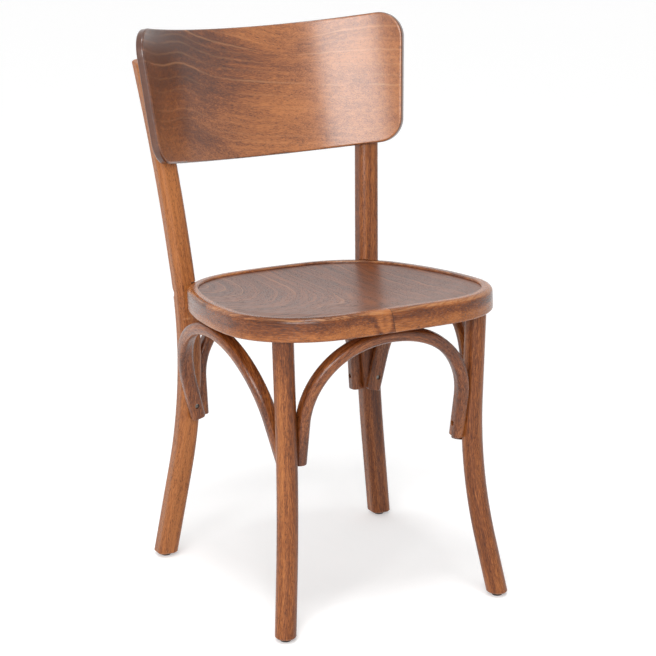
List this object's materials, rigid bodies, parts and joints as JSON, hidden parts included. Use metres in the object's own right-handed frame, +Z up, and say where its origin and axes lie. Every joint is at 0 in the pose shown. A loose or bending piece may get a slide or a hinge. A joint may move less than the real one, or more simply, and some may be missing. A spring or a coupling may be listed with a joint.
{
  "type": "chair",
  "caption": "Bentwood bistro side chair with a dished seat in a bent ring, splayed legs braced by arches, and a bowed leaning backrest.",
  "frame": {"origin": "on the floor, at the bottom centre of the chair's bounding box", "axes": "+Z up; +X to the right of a person facing the chair's backrest from the front; -Y is the chair's front and +Y its back"},
  "size_m": [0.443, 0.4935, 0.8086],
  "materials": {
    "frame_wood": "stained beech, satin lacquer",
    "seat_veneer": "stained beech veneer, satin lacquer",
    "backrest_veneer": "stained beech veneer, satin lacquer",
    "steel": "dull",
    "glide": "matte"
  },
  "bodies": {
    "root": {"backrest": "backrest_veneer", "backrest_screw_lower_left": "steel", "backrest_screw_lower_right": "steel", "backrest_screw_upper_left": "steel", "backrest_screw_upper_right": "steel", "front_arch": "frame_wood", "front_arch_crown_screw": "steel", "front_arch_screw_left": "steel", "front_arch_screw_right": "steel", "front_glide_left": "glide", "front_glide_nail_left": "steel", "front_glide_nail_right": "steel", "front_glide_right": "glide", "front_leg_left": "frame_wood", "front_leg_right": "frame_wood", "rear_arch": "frame_wood", "rear_arch_crown_screw": "steel", "rear_arch_screw_left": "steel", "rear_arch_screw_right": "steel", "rear_glide_left": "glide", "rear_glide_nail_left": "steel", "rear_glide_nail_right": "steel", "rear_glide_right": "glide", "rear_leg_left": "frame_wood", "rear_leg_right": "frame_wood", "seat_bolt_left": "steel", "seat_bolt_nut_left": "steel", "seat_bolt_nut_right": "steel", "seat_bolt_right": "steel", "seat_bolt_washer_left": "steel", "seat_bolt_washer_right": "steel", "seat_panel": "seat_veneer", "seat_ring": "frame_wood", "side_arch_crown_screw_left": "steel", "side_arch_crown_screw_right": "steel", "side_arch_front_screw_left": "steel", "side_arch_front_screw_right": "steel", "side_arch_left": "frame_wood", "side_arch_rear_screw_left": "steel", "side_arch_rear_screw_right": "steel", "side_arch_right": "frame_wood"}
  },
  "joints": []
}
